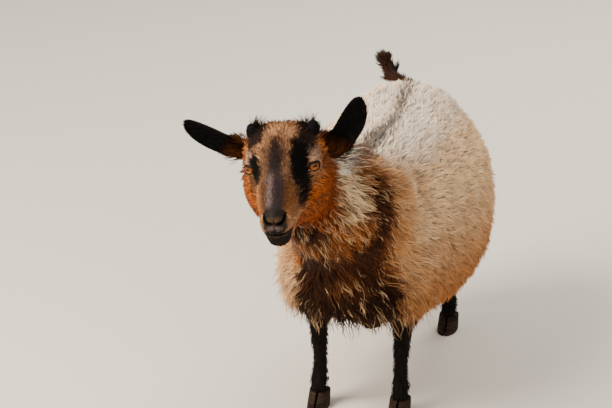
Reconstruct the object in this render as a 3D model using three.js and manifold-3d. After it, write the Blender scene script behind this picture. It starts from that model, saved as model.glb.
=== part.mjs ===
// A young pygmy goat in its winter coat, a still, life-size model in a natural stance: four feet square on
// the floor, tail up, the neck carried to its right and the face turned ahead again.
//
// Millimetres, +Z up. The goat faces -Y and its left side is +X. While it is modelled, y = 0 is the front of
// the brisket, x = 0 the middle of the trunk and z = 0 the floor. At the end the whole is moved so that the
// origin is the middle of its footprint. Every outline reaches the tips of the coat.

import * as THREE from "three";
import { mergeVertices } from "three/addons/utils/BufferGeometryUtils.js";
import Module from "manifold-3d";

const wasm = await Module();
wasm.setup();

// ---------------------------------------------------------------- driving dimensions

const GAP = 0.3; // clearance between pieces that touch
const LEFT = 1;
const RIGHT = -1;
const SIDES = [
  ["left", LEFT],
  ["right", RIGHT],
];

// The trunk, from the brisket back to the buttocks: where each section stands, how high its back and belly
// lie, how wide it is to each side, and the height of its widest place. The chest leans to the right.
const TRUNK = [
  { x: -4, y: 0, back: 348, belly: 236, half: 46, level: 288 },
  { x: -6, y: 22, back: 384, belly: 196, half: 84, level: 274 },
  { x: -9, y: 60, back: 408, belly: 166, half: 108, level: 258 },
  { x: -10, y: 110, back: 420, belly: 144, half: 130, level: 248 },
  { x: -9, y: 170, back: 418, belly: 134, half: 145, level: 250 },
  { x: -6, y: 245, back: 412, belly: 130, half: 153, level: 258 },
  { x: -2, y: 315, back: 413, belly: 140, half: 150, level: 262 },
  { x: 0, y: 370, back: 421, belly: 156, half: 139, level: 264 },
  { x: 0, y: 420, back: 421, belly: 179, half: 120, level: 268 },
  { x: 0, y: 456, back: 407, belly: 208, half: 98, level: 276 },
  { x: 0, y: 482, back: 384, belly: 242, half: 72, level: 284 },
];

// The neck, from inside the back of the head down to inside the shoulders.
const NECK = [
  { centre: [-78, -72, 444], half: 46, over: 44, under: 52 },
  { centre: [-70, -40, 426], half: 64, over: 56, under: 78 },
  { centre: [-49, 4, 396], half: 80, over: 60, under: 102 },
  { centre: [-22, 50, 356], half: 92, over: 64, under: 112 },
  { centre: [0, 108, 330], half: 90, over: 74, under: 96 },
];

// The head's own frame: its origin is midway between the eyes, with the nose towards -Y.
const HEAD = {
  centre: [-70, -118, 443],
  yaw: 8.5, // degrees, the face turned towards its left
  pitch: 7, // degrees, the nose lowered
  roll: -5.8, // degrees, the left eye the higher one
};

const CRANIUM = [
  { y: -125, top: -7, floor: -42, half: 14, level: -24 },
  { y: -116, top: 1, floor: -47, half: 21, level: -26 },
  { y: -95, top: 6, floor: -49, half: 25, level: -28 },
  { y: -70, top: 13, floor: -50, half: 28, level: -26 },
  { y: -45, top: 22, floor: -52, half: 32, level: -18 },
  { y: -22, top: 33, floor: -54, half: 38, level: -6 },
  { y: -5, top: 41, floor: -56, half: 45.5, level: 0 },
  { y: 12, top: 47, floor: -56, half: 53.5, level: 4 },
  { y: 34, top: 52, floor: -56, half: 58, level: 4 },
  { y: 54, top: 51, floor: -48, half: 54, level: 6 },
  { y: 70, top: 38, floor: -30, half: 36, level: 6 },
];
const CHEEKS = [
  { y: -64, top: -16, floor: -52, half: 25, level: -34 },
  { y: -40, top: -6, floor: -67, half: 36, level: -36 },
  { y: -12, top: 0, floor: -78, half: 51, level: -38 },
  { y: 16, top: 8, floor: -91, half: 63, level: -42 },
  { y: 42, top: 14, floor: -92, half: 66, level: -38 },
  { y: 66, top: 8, floor: -72, half: 50, level: -30 },
];
const JAW = [
  { y: -115, top: -40, floor: -59, half: 12, level: -50 },
  { y: -104, top: -38, floor: -66, half: 18, level: -52 },
  { y: -85, top: -36, floor: -66, half: 19, level: -52 },
  { y: -55, top: -36, floor: -66, half: 22, level: -52 },
  { y: -25, top: -36, floor: -74, half: 32, level: -54 },
  { y: 4, top: -36, floor: -84, half: 42, level: -58 },
];
const EYE = { centre: [38, -2, 7.5], radius: 12.5 };
const NOSE_PAD = { centre: [0, -118, -19], half: [16, 9, 13], tilt: 25 };
const HORN_BUD = { centre: [35, 44, 37], radius: 8.5, height: 21, splay: 30 };
const EAR = {
  length: 99,
  half: 22, // measured round the cup
  rootWidth: 0.72, // of the widest
  widestAt: 0.52, // of the length
  cup: 54, // degrees to each side
  arch: 7, // its hollow side bowed in along its length
  curl: 7, // and its tip curling upwards
  thickness: 3.4,
};
// Where each ear is rooted, which way it points and which way its hollow side faces, in the head's frame.
const EAR_POSE = {
  left: { root: [57, 42, 0], along: [0.55, 0, 0.83], facing: [0.1, -0.95, 0] },
  right: { root: [-50, 42, 11], along: [-0.89, 0.05, 0.52], facing: [-0.2, -0.95, -0.2] },
};

const TAIL = [
  { centre: [4, 446, 378], half: 13, over: 13, under: 13 },
  { centre: [-22, 469, 386], half: 14, over: 14, under: 14 },
  { centre: [-46, 482, 400], half: 14, over: 13, under: 13 },
  { centre: [-60, 483, 422], half: 13, over: 11, under: 12 },
  { centre: [-68, 477, 444], half: 7, over: 6, under: 6 },
];

// The legs, from inside the trunk down to the hooves: centres on the left side, with half sizes sideways,
// towards the back and towards the front.
const FORE_UPPER = [
  { centre: [66, 92, 262], half: 34, over: 44, under: 44 },
  { centre: [70, 94, 214], half: 35, over: 38, under: 38 },
  { centre: [69, 94, 172], half: 28, over: 28, under: 27 },
  { centre: [64, 92, 138], half: 18, over: 19, under: 19 },
  { centre: [63, 90, 119], half: 17, over: 18, under: 19 },
];
const FORE_LOWER = [
  { centre: [63, 90, 128], half: 17, over: 18, under: 19 },
  { centre: [63, 90, 110], half: 17, over: 17, under: 19 },
  { centre: [62, 92, 92], half: 13, over: 14, under: 14 },
  { centre: [62, 92, 66], half: 12.5, over: 14, under: 13 },
  { centre: [62, 91, 48], half: 15.5, over: 17, under: 15 },
  { centre: [62, 85, 32], half: 15.5, over: 16, under: 14 },
  { centre: [62, 80, 16], half: 16, over: 18, under: 14 },
];
const HIND_UPPER = [
  { centre: [62, 388, 300], half: 48, over: 62, under: 60 },
  { centre: [70, 392, 246], half: 44, over: 60, under: 56 },
  { centre: [68, 402, 204], half: 33, over: 44, under: 42 },
  { centre: [64, 420, 168], half: 21, over: 27, under: 27 },
  { centre: [62, 434, 142], half: 16, over: 21, under: 19 },
  { centre: [62, 438, 124], half: 15, over: 18, under: 18 },
];
const HIND_LOWER = [
  { centre: [62, 437, 134], half: 15.5, over: 20, under: 18 },
  { centre: [62, 437, 116], half: 15, over: 17, under: 18 },
  { centre: [62, 433, 94], half: 13, over: 14, under: 14 },
  { centre: [62, 430, 66], half: 12.5, over: 14, under: 13 },
  { centre: [62, 428, 48], half: 15.5, over: 17, under: 15 },
  { centre: [62, 421, 32], half: 15.5, over: 16, under: 14 },
  { centre: [62, 416, 16], half: 16, over: 18, under: 14 },
];
const FORE_TOE = 50; // how far back the toes stand
const HIND_TOE = 386;
const FORE_LEAN = -8; // both fore legs stand that far to the right, under the chest
const HOOF = { length: 50, half: 15.5, height: 25, split: 2, toeSlope: 0.42 };
const DEWCLAW = { radius: 5, height: 13, offset: [8.5, 18, 40] };

const COLOUR = {
  coat: 0xb7a593,
  ruff: 0x4a2f1e,
  face: 0x6f4a30,
  muzzle: 0x241c1a,
  skin: 0x1c1817,
  eye: 0xb4581c,
  horn: 0x2b2624,
  hoof: 0x2a2420,
  leg: 0x3a2a20,
};

// ---------------------------------------------------------------- solids

/** A closed geometry as a solid. */
function toSolid(geometry) {
  const bare = geometry.clone();
  bare.deleteAttribute("normal");
  bare.deleteAttribute("uv");
  const merged = mergeVertices(bare, 1e-4);
  const mesh = new wasm.Mesh({
    numProp: 3,
    vertProperties: new Float32Array(merged.attributes.position.array),
    triVerts: new Uint32Array(merged.index.array),
  });
  return new wasm.Manifold(mesh);
}

/** A solid's surface as a geometry. */
function toGeometry(solid) {
  const mesh = solid.getMesh();
  const geometry = new THREE.BufferGeometry();
  geometry.setAttribute("position", new THREE.BufferAttribute(mesh.vertProperties, 3));
  geometry.setIndex(new THREE.BufferAttribute(mesh.triVerts, 1));
  geometry.computeVertexNormals();
  return geometry;
}

/** The base solid without its neighbours. */
function without(base, ...neighbours) {
  return neighbours.reduce((rest, neighbour) => rest.subtract(neighbour), base);
}

/** Moves each vertex of a geometry to where place(vertex) puts it. */
function deform(geometry, place) {
  const position = geometry.attributes.position;
  const vertex = new THREE.Vector3();
  for (let i = 0; i < position.count; i += 1) {
    vertex.fromBufferAttribute(position, i);
    place(vertex);
    position.setXYZ(i, vertex.x, vertex.y, vertex.z);
  }
  return geometry;
}

/** How far a section has opened at t, from 0 at a rounded end to 1 past its cap. */
function opening(t, cap) {
  const fromEnd = Math.min(t, 1 - t);
  return fromEnd >= cap ? 1 : Math.sqrt(Math.max(0, 1 - ((cap - fromEnd) / cap) ** 2));
}

/**
 * A closed body whose rounded sections follow a row of stations. Each station gives its centre, its half
 * width and its reach over and under the centre; power and lower say how square the sections are over and
 * under it, 2 for an ellipse; grow adds clearance all round.
 */
function loft(stations, { around = 20, along = 18, cap = 0.08, power = 2.2, lower = power, grow = 0 } = {}) {
  const centres = new THREE.CatmullRomCurve3(stations.map((s) => new THREE.Vector3(...s.centre)));
  const reaches = new THREE.CatmullRomCurve3(
    stations.map((s) => new THREE.Vector3(s.half, s.over, s.under)),
  );
  const ahead = new THREE.Vector3();
  const sideways = new THREE.Vector3();
  const up = new THREE.Vector3();
  return deform(new THREE.SphereGeometry(1, around, along), (v) => {
    const t = THREE.MathUtils.clamp((1 - v.y) / 2, 0, 1);
    const ring = Math.hypot(v.x, v.z) || 1;
    const bulge = (c) => Math.sign(c) * Math.abs(c) ** (2 / (v.z < 0 ? power : lower));
    const reach = reaches.getPoint(t);
    const open = opening(t, cap);
    const across = bulge(v.x / ring) * (reach.x + grow) * open;
    const height = bulge(-v.z / ring) * ((v.z < 0 ? reach.y : reach.z) + grow) * open;
    const end = (t === 0 ? -grow : 0) + (t === 1 ? grow : 0);
    ahead.copy(centres.getTangent(t));
    sideways.set(1, 0, 0).addScaledVector(ahead, -ahead.x).normalize();
    up.crossVectors(sideways, ahead);
    v.copy(centres.getPoint(t)).addScaledVector(sideways, across);
    v.addScaledVector(up, height).addScaledVector(ahead, end);
  });
}

/** Stations of a body that runs straight back, from the heights of its top and floor. */
function upright(rows, top, floor) {
  return rows.map((row) => ({
    centre: [row.x ?? 0, row.y, row.level],
    half: row.half,
    over: row[top] - row.level,
    under: row.level - row[floor],
  }));
}

/** The same stations on the left or the right side, moved by the legs' lean. */
function onSide(stations, side, lean) {
  return stations.map(({ centre: [x, y, z], ...reach }) => ({ centre: [x * side + lean, y, z], ...reach }));
}

// ---------------------------------------------------------------- trunk, neck and tail

const trunkShape = { around: 26, along: 21, cap: 0.05, power: 2, lower: 2.9 };
const neckShape = { around: 20, along: 12, cap: 0.05, power: 2.1 };
const trunkBody = (grow = 0) => toSolid(loft(upright(TRUNK, "back", "belly"), { ...trunkShape, grow }));
const neckBody = (grow = 0) => toSolid(loft(NECK, { ...neckShape, grow }));
const tailBody = () => toSolid(loft(TAIL, { around: 10, along: 10, cap: 0.12, power: 2 }));

// ---------------------------------------------------------------- head

const headShape = { around: 20, along: 18, cap: 0.06, power: 2.4 };

function cranium(grow = 0) {
  return toSolid(loft(upright(CRANIUM, "top", "floor"), { ...headShape, grow }));
}

function cheeks(grow = 0) {
  return toSolid(loft(upright(CHEEKS, "top", "floor"), { ...headShape, along: 12, cap: 0.1, power: 2.1, grow }));
}

function skull(grow = 0) {
  return cranium(grow).add(cheeks(grow));
}

function jawBody() {
  return toSolid(loft(upright(JAW, "top", "floor"), { ...headShape, around: 14, along: 11 }));
}

function eyeball(side, grow = 0) {
  const ball = new THREE.SphereGeometry(EYE.radius + grow, 14, 8);
  return ball.translate(EYE.centre[0] * side, EYE.centre[1], EYE.centre[2]);
}

function nosePad(grow = 0) {
  const [width, depth, height] = NOSE_PAD.half.map((half) => half + grow);
  const pad = new THREE.SphereGeometry(1, 14, 8).scale(width, depth, height);
  return pad.rotateX(THREE.MathUtils.degToRad(NOSE_PAD.tilt)).translate(...NOSE_PAD.centre);
}

function hornBud(side) {
  const { radius, height, splay, centre } = HORN_BUD;
  const profile = [
    [0, 0],
    [radius, 0],
    [radius * 0.94, height * 0.45],
    [radius * 0.66, height * 0.82],
    [radius * 0.3, height * 0.97],
    [0, height],
  ];
  const bud = new THREE.LatheGeometry(
    profile.map(([r, h]) => new THREE.Vector2(r, h)),
    10,
  );
  bud.rotateX(Math.PI / 2).rotateY(THREE.MathUtils.degToRad(splay * side));
  return bud.translate(centre[0] * side, centre[1], centre[2]);
}

/** Half the ear's width at t, from its root at 0 to its rounded tip at 1. */
function earWidth(t) {
  const { half, widestAt, rootWidth } = EAR;
  const towardsTip = Math.max(0, (t - widestAt) / (1 - widestAt));
  const towardsRoot = Math.max(0, (widestAt - t) / widestAt);
  const taper = 1 - (1 - rootWidth) * towardsRoot ** 2;
  return half * taper * Math.sqrt(Math.max(0, 1 - towardsTip ** 2.4)) * opening(t, 0.02);
}

/** A leaf-shaped shell, cupped across its width, with its root at the side of the skull. */
function earShell(name, side) {
  const { length, thickness, arch, curl } = EAR;
  const { root } = EAR_POSE[name];
  const cup = THREE.MathUtils.degToRad(EAR.cup);
  const shell = deform(new THREE.SphereGeometry(1, 12, 14), (v) => {
    const t = THREE.MathUtils.clamp((v.y + 1) / 2, 0, 1);
    const ring = Math.hypot(v.x, v.z) || 1;
    const radius = earWidth(t) / cup;
    const bend = (v.x / ring) * cup;
    const lift = (v.z / ring) * (thickness / 2) * opening(t, 0.05);
    const hollow = radius * (1 - Math.cos(bend)) + lift * Math.cos(bend);
    const sag = Math.sin(Math.PI * t);
    v.set(Math.sin(bend) * (radius - lift) + side * curl * sag, length * t, hollow - arch * sag);
  });
  const along = new THREE.Vector3(...EAR_POSE[name].along).normalize();
  const facing = new THREE.Vector3(...EAR_POSE[name].facing);
  facing.addScaledVector(along, -facing.dot(along)).normalize();
  const across = new THREE.Vector3().crossVectors(along, facing);
  const place = new THREE.Matrix4().makeBasis(across, along, facing);
  place.setPosition(...root);
  return shell.applyMatrix4(place);
}

// ---------------------------------------------------------------- legs and hooves

const legShape = { around: 12, along: 11, cap: 0.06, power: 2.1 };

/** One claw of a hoof: an outline drawn on the floor, straight inside and round outside, drawn in upwards. */
function claw(legX, toeY, outward, grow = 0) {
  const { length, half, height, split, toeSlope } = HOOF;
  const outline = new THREE.Shape();
  outline.moveTo(0, -grow);
  outline.bezierCurveTo(half * 0.55, length * 0.06 - grow, half + grow, length * 0.3, half + grow, length * 0.62);
  outline.quadraticCurveTo(half + grow, length + grow, half * 0.5, length + grow);
  outline.lineTo(-grow, length * 0.94 + grow);
  const block = new THREE.ExtrudeGeometry(outline, {
    depth: height + grow,
    bevelEnabled: false,
    curveSegments: 6,
    steps: 2,
  });
  return deform(block, (v) => {
    const rise = v.z / height;
    v.y = length + (v.y - length) * (1 - toeSlope * rise) + 0.08 * length * rise;
    v.x = half * 0.4 + (v.x - half * 0.4) * (1 - 0.1 * rise);
    v.set(legX + outward * (v.x + split / 2), toeY + v.y, v.z);
  });
}

/** Mirroring turns a surface inside out, so its triangles are wound the other way again. */
function facingOut(geometry, mirrored) {
  const flat = geometry.index ? geometry.toNonIndexed() : geometry;
  if (mirrored) {
    const position = flat.attributes.position;
    const a = new THREE.Vector3();
    const b = new THREE.Vector3();
    for (let i = 0; i < position.count; i += 3) {
      a.fromBufferAttribute(position, i);
      b.fromBufferAttribute(position, i + 2);
      position.setXYZ(i, b.x, b.y, b.z);
      position.setXYZ(i + 2, a.x, a.y, a.z);
    }
  }
  return flat;
}

function clawSolid(legX, toeY, outward, grow = 0) {
  return toSolid(facingOut(claw(legX, toeY, outward, grow), outward < 0));
}

function dewclaw(legX, legY, outward) {
  const [x, y, z] = DEWCLAW.offset;
  const bud = new THREE.SphereGeometry(1, 7, 5).scale(DEWCLAW.radius, DEWCLAW.radius, DEWCLAW.height / 2);
  return toSolid(bud.rotateX(THREE.MathUtils.degToRad(25)).translate(legX + outward * x, legY + y, z));
}

// ---------------------------------------------------------------- the goat

const goat = new THREE.Group();
const headGroup = new THREE.Group();
headGroup.rotation.order = "ZXY";
headGroup.rotation.set(
  THREE.MathUtils.degToRad(HEAD.pitch),
  THREE.MathUtils.degToRad(HEAD.roll),
  THREE.MathUtils.degToRad(HEAD.yaw),
);
headGroup.position.set(...HEAD.centre);
headGroup.updateMatrix();
goat.add(headGroup);

function addPiece(parent, name, solid, color, roughness = 0.9) {
  const material = new THREE.MeshStandardMaterial({ color, roughness, metalness: 0 });
  const piece = new THREE.Mesh(toGeometry(solid), material);
  piece.name = name;
  parent.add(piece);
}

const headInBody = (solid) => solid.transform(headGroup.matrix.toArray());

function addTrunk() {
  addPiece(goat, "trunk", trunkBody(), COLOUR.coat);
  const neck = without(neckBody(), trunkBody(GAP), headInBody(skull(GAP).add(jawBody())));
  const pieces = neck.decompose().sort((a, b) => b.volume() - a.volume());
  addPiece(goat, "neck", pieces[0], COLOUR.ruff);
  addPiece(goat, "tail", without(tailBody(), trunkBody(GAP)), COLOUR.muzzle);
}

function addHead() {
  const eyes = SIDES.map(([, side]) => toSolid(eyeball(side, GAP)));
  addPiece(headGroup, "head", without(skull(), ...eyes, toSolid(nosePad(GAP))), COLOUR.face);
  addPiece(headGroup, "lower_jaw", without(jawBody(), skull(GAP), toSolid(nosePad(GAP))), COLOUR.muzzle);
  addPiece(headGroup, "nose", toSolid(nosePad()), COLOUR.skin, 0.45);
  for (const [name, side] of SIDES) {
    addPiece(headGroup, `eye_${name}`, toSolid(eyeball(side)), COLOUR.eye, 0.1);
    addPiece(headGroup, `horn_${name}`, without(toSolid(hornBud(side)), skull(GAP)), COLOUR.horn, 0.6);
    addPiece(headGroup, `ear_${name}`, without(toSolid(earShell(name, side)), skull(GAP)), COLOUR.muzzle);
  }
}

function addLeg(name, side, upper, lower, toeY, lean) {
  const footX = lower[lower.length - 1].centre[0] * side + lean;
  const footY = lower[lower.length - 1].centre[1];
  const hoof = [
    ["inner", -side],
    ["outer", side],
  ];
  const upperSolid = toSolid(loft(onSide(upper, side, lean), legShape));
  const lowerSolid = (grow) => toSolid(loft(onSide(lower, side, lean), { ...legShape, grow }));
  const dewclaws = hoof.map(([place, way]) => [`${name}_dewclaw_${place}`, dewclaw(footX, footY, way)]);
  const claws = hoof.map(([, way]) => clawSolid(footX, toeY, way, GAP));
  addPiece(goat, `${name}_upper`, without(upperSolid, trunkBody(GAP), lowerSolid(GAP)), COLOUR.leg);
  addPiece(goat, `${name}_lower`, without(lowerSolid(0), ...claws), COLOUR.leg);
  for (const [place, way] of hoof) {
    addPiece(goat, `${name}_hoof_${place}`, clawSolid(footX, toeY, way), COLOUR.hoof, 0.55);
  }
  for (const [dewclawName, solid] of dewclaws) {
    addPiece(goat, dewclawName, without(solid, lowerSolid(GAP)), COLOUR.hoof, 0.55);
  }
}

addTrunk();
addHead();
for (const [name, side] of SIDES) {
  addLeg(`fore_${name}`, side, FORE_UPPER, FORE_LOWER, FORE_TOE, FORE_LEAN);
  addLeg(`hind_${name}`, side, HIND_UPPER, HIND_LOWER, HIND_TOE, 0);
}

const box = new THREE.Box3().setFromObject(goat, true);
goat.position.set(-(box.min.x + box.max.x) / 2, -(box.min.y + box.max.y) / 2, -box.min.z);

export default goat;
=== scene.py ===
"""The looks of a young pygmy goat in its winter coat, standing, built round its solids.

One skin replaces the solids of flesh and lies inside them by the depth of the coat. The eyes, horn buds and
hooves are pieces of their own. The coat is solid tufts that grow on the skin in the lie of the hair. Sizes
are metres in the frame of the solids. Places on the goat are millimetres, in its body's frame (from the
front of the brisket, the middle of the trunk and the floor, with its left at +x and its back at +y) or in
its head's frame (from midway between the eyes, with the nose at -y).
"""

import math

import bmesh
import bpy
import numpy as np
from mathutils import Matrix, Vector
from mathutils.bvhtree import BVHTree
from mathutils.kdtree import KDTree


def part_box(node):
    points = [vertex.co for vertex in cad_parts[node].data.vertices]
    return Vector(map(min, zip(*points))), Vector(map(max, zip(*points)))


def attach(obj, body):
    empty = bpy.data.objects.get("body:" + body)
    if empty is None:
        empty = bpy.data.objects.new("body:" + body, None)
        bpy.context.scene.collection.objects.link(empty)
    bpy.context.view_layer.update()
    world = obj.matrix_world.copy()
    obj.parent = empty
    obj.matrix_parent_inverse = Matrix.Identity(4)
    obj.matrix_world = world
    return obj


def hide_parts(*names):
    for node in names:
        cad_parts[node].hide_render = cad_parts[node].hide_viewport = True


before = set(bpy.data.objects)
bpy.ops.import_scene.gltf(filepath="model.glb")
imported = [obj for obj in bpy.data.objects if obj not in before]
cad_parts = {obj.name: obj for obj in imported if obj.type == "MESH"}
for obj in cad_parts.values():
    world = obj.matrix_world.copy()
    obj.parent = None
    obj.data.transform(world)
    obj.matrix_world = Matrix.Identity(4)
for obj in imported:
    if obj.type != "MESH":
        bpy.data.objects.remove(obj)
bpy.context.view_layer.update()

MM = 0.001
SIDES = {"left": 1, "right": -1}
LEGS = [f"{end}_{side}" for end in ("fore", "hind") for side in SIDES]
FLESH = ["trunk", "neck", "tail", "head", "lower_jaw", "nose"]
FLESH += [f"{leg}_{half}" for leg in LEGS for half in ("upper", "lower")]
EARS = ["ear_left", "ear_right"]
EYES = ["eye_left", "eye_right"]

# ---------------------------------------------------------------- the frames of the body and the head


def middle(node):
    """The middle of a solid's box."""
    low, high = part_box(node)
    return (low + high) / 2


def turn(axis, degrees):
    """The rotation about one axis, as a matrix for columns."""
    c, s = math.cos(math.radians(degrees)), math.sin(math.radians(degrees))
    turns = {
        "x": [[1, 0, 0], [0, c, -s], [0, s, c]],
        "y": [[c, 0, s], [0, 1, 0], [-s, 0, c]],
        "z": [[c, -s, 0], [s, c, 0], [0, 0, 1]],
    }
    return np.array(turns[axis])


HEAD_YAW, HEAD_PITCH, HEAD_ROLL = 8.5, 7, -5.8  # degrees
HEAD_TURN = turn("z", HEAD_YAW) @ turn("x", HEAD_PITCH) @ turn("y", HEAD_ROLL)
EYE = np.array([38.0, -2.0, 7.5])  # the left one's middle, in the head's frame
EYE_RADIUS = (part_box("eye_left")[1].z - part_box("eye_left")[0].z) / 2 / MM

TOE = 50  # how far back the fore hooves' toes are, in the body's frame
HIND_FEET = (middle("hind_left_hoof_outer") + middle("hind_right_hoof_outer")) / 2
BODY_ORIGIN = np.array([HIND_FEET.x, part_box("fore_left_hoof_outer")[0].y - TOE * MM, 0])
LEG_AXES = {"fore": (-8, 62, 92), "hind": (0, 62, 424)}  # their middle, half their distance, how far back
EYES_MIDDLE = np.array((middle("eye_left") + middle("eye_right")) / 2)
HEAD_ORIGIN = EYES_MIDDLE - HEAD_TURN @ (EYE * [0, 1, 1]) * MM


def on_body(points):
    """World points in the body's frame, in millimetres."""
    return (points - BODY_ORIGIN) / MM


def on_head(points):
    """World points in the head's frame, in millimetres."""
    return (points - HEAD_ORIGIN) / MM @ HEAD_TURN


def from_head(places):
    """Places in the head's frame, as world points."""
    return places * MM @ HEAD_TURN.T + HEAD_ORIGIN


# ---------------------------------------------------------------- small tools


def ease(start, end, x):
    """0 before start, 1 past end, with a soft turn between; start may be the higher one."""
    t = np.clip((x - start) / (end - start), 0, 1)
    return t * t * (3 - 2 * t)


def unit(vectors):
    """The vectors at length 1."""
    return vectors / np.maximum(np.linalg.norm(vectors, axis=-1, keepdims=True), 1e-9)


def mix(a, b, share):
    """Rows of a and b mixed by a share for each row."""
    share = np.asarray(share)[..., None] if np.ndim(share) else share
    return a * (1 - share) + b * share


def painted(colour, *paints):
    """A colour with others laid over it in turn, each by its share."""
    for paint, share in paints:
        colour = mix(colour, paint, share)
    return colour


def rows(*columns):
    """Arrays and numbers side by side."""
    return np.stack(np.broadcast_arrays(*columns), 1)


def spot(places, centre, reach):
    """1 at a centre, falling softly to 0 at an ellipsoid of those half sizes round it."""
    return ease(1, 0, np.linalg.norm((places - np.array(centre)) / np.array(reach), axis=1))


def distance_to_line(places, line):
    """The distance to a bent line, and how far along it the nearest point lies, from 0 to 1."""
    line = np.array(line, float)
    best = np.full(len(places), np.inf)
    share = np.zeros(len(places))
    for i, (a, b) in enumerate(zip(line[:-1], line[1:])):
        along = b - a
        t = np.clip((places - a) @ along / (along @ along), 0, 1)
        far = np.linalg.norm(places - a - t[:, None] * along, axis=1)
        nearer = far < best
        best = np.where(nearer, far, best)
        share = np.where(nearer, (i + t) / (len(line) - 1), share)
    return best, share


def stroke(places, line, reach, soft=0.5):
    """1 on a bent line, falling to 0 at reach from it; soft is the part of the reach that fades."""
    return ease(reach, reach * (1 - soft), distance_to_line(places, line)[0])


def mirrored(places):
    """The places, with those on the right side moved to the left."""
    return np.abs(places) * [1, 0, 0] + places * [0, 1, 1]


def ripple(places, size, seed):
    """Smooth noise of about that size, between about -1 and 1."""
    random = np.random.default_rng(seed)
    total = np.zeros(len(places))
    for _ in range(7):
        way = unit(random.normal(size=3)) * random.uniform(0.6, 1.5) * 2 * math.pi / size
        total += np.sin(places @ way + random.uniform(0, 2 * math.pi))
    return total / 3.2


def shade(code):
    """A colour written as six hex digits, as light."""
    value = np.array([int(code[i : i + 2], 16) / 255 for i in (0, 2, 4)])
    return np.where(value <= 0.04045, value / 12.92, ((value + 0.055) / 1.055) ** 2.4)


def only(*objects):
    """Selects these objects alone, with the first one active."""
    bpy.ops.object.select_all(action="DESELECT")
    for o in objects:
        o.select_set(True)
    bpy.context.view_layer.objects.active = objects[0]


def read(items, name, each=1, kind=np.float32):
    """One property of all items of a mesh as an array, with each numbers for an item."""
    flat = np.empty(len(items) * each, kind)
    items.foreach_get(name, flat)
    return flat.reshape(-1, each) if each > 1 else flat


def places_of(mesh):
    """A mesh's vertices as an array."""
    return read(mesh.vertices, "co", 3).astype(float)


def normals_of(mesh):
    """A mesh's vertex normals as an array."""
    return read(mesh.vertices, "normal", 3).astype(float)


def numbers_of(mesh, name):
    """An attribute's number for each vertex."""
    return read(mesh.attributes[name].data, "value")


def set_places(mesh, places):
    """Moves a mesh's vertices."""
    mesh.vertices.foreach_set("co", places.astype(np.float32).ravel())
    mesh.update()


def relaxed(mesh, rounds, weight):
    """The vertices pulled towards their neighbours' middle, by one weight or by one for each."""
    a, b = read(mesh.edges, "vertices", 2, np.int32).T
    places = places_of(mesh)
    count = np.bincount(a, minlength=len(places)) + np.bincount(b, minlength=len(places))
    for _ in range(rounds):
        total = np.empty_like(places)
        for axis in range(3):
            total[:, axis] = np.bincount(a, places[b, axis], len(places))
            total[:, axis] += np.bincount(b, places[a, axis], len(places))
        places += (total / np.maximum(count, 1)[:, None] - places) * np.reshape(weight, (-1, 1))
    return places


def on_all_of(obj, operator, **settings):
    """Runs a mesh operator on all of one object."""
    only(obj)
    bpy.ops.object.mode_set(mode="EDIT")
    bpy.ops.mesh.select_all(action="SELECT")
    operator(**settings)
    bpy.ops.object.mode_set(mode="OBJECT")


def apply_modifier(obj, kind, **settings):
    """Adds a modifier, sets it and applies it."""
    only(obj)
    modifier = obj.modifiers.new(kind.lower(), kind)
    for name, value in settings.items():
        setattr(modifier, name, value)
    bpy.ops.object.modifier_apply(modifier=modifier.name)


ATTRIBUTES = {1: ("FLOAT", "value"), 3: ("FLOAT_VECTOR", "vector"), 4: ("FLOAT_COLOR", "color")}


def set_attribute(mesh, name, values):
    """A number, a vector, or a colour with its alpha for each vertex, as an attribute."""
    kind, field = ATTRIBUTES[values.size // len(values)]
    mesh.attributes.new(name, kind, "POINT").data.foreach_set(field, values.astype(np.float32).ravel())


def set_colours(mesh, name, colours):
    """A colour for each vertex, as an attribute."""
    set_attribute(mesh, name, np.hstack([colours, np.ones((len(colours), 1))]))


# ---------------------------------------------------------------- the skin

BODY_VOXEL = 0.0075  # the body's mesh
CLOSING = 0.0007  # each solid grows by this, which closes the gaps between them


def copy_of(node, name):
    """A node's mesh as a new object, its doubles merged."""
    obj = bpy.data.objects.new(name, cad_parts[node].data.copy())
    bpy.context.scene.collection.objects.link(obj)
    obj.data.materials.clear()
    on_all_of(obj, bpy.ops.mesh.remove_doubles, threshold=1e-5)
    return obj


def joined_flesh():
    """The solids of flesh as one rounded body."""
    pieces = [copy_of(node, f"flesh_{node}") for node in [*FLESH, *EYES]]  # which fill their sockets
    only(*pieces)
    bpy.ops.object.join()
    body = bpy.context.view_layer.objects.active
    on_all_of(body, bpy.ops.transform.shrink_fatten, value=CLOSING)
    body.data.remesh_voxel_size = BODY_VOXEL
    bpy.ops.object.voxel_remesh()
    body.name = body.data.name = "skin"
    return body


def head_share(places):
    """How much of a place belongs to the head and not to the neck, from 0 to 1."""
    q = on_head(places)
    x, y, z = q.T
    return ease(82, 48, y) * ease(-112, -92, z) * ease(120, 90, np.abs(x))


def face_share(places):
    """How much of a place has the face's short hair and not the neck's, from 0 to 1."""
    q = on_head(places)
    return head_share(places) * (1 - ease(24, 36, q[:, 1]) * ease(16, 0, q[:, 2]))


def coat_depth(places):
    """How far the skin lies inside the solids, in metres."""
    p, q = on_body(places), on_head(places)
    depth = 10 + 6 * ease(60, -20, p[:, 1]) * ease(200, 260, p[:, 2])  # deeper on the ruff and the chest
    depth = depth - 5 * ease(375, 410, p[:, 2]) * ease(40, 120, p[:, 1])  # and shallower on the back
    legs = ease(225, 165, p[:, 2])
    depth = depth * (1 - legs) + 4 * legs
    depth -= 1.5 * ease(120, 90, p[:, 2]) * legs
    tail = ease(446, 462, p[:, 1]) * ease(350, 380, p[:, 2])
    depth = depth * (1 - tail) + 7 * tail
    face = 2.4 + 5 * ease(-62, -20, q[:, 1]) * ease(-10, -50, q[:, 2])  # deeper on cheeks and jaw
    face = face + 1.5 * ease(10, 50, q[:, 1])
    head = head_share(places)
    return (depth * (1 - head) + face * head) * MM


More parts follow.
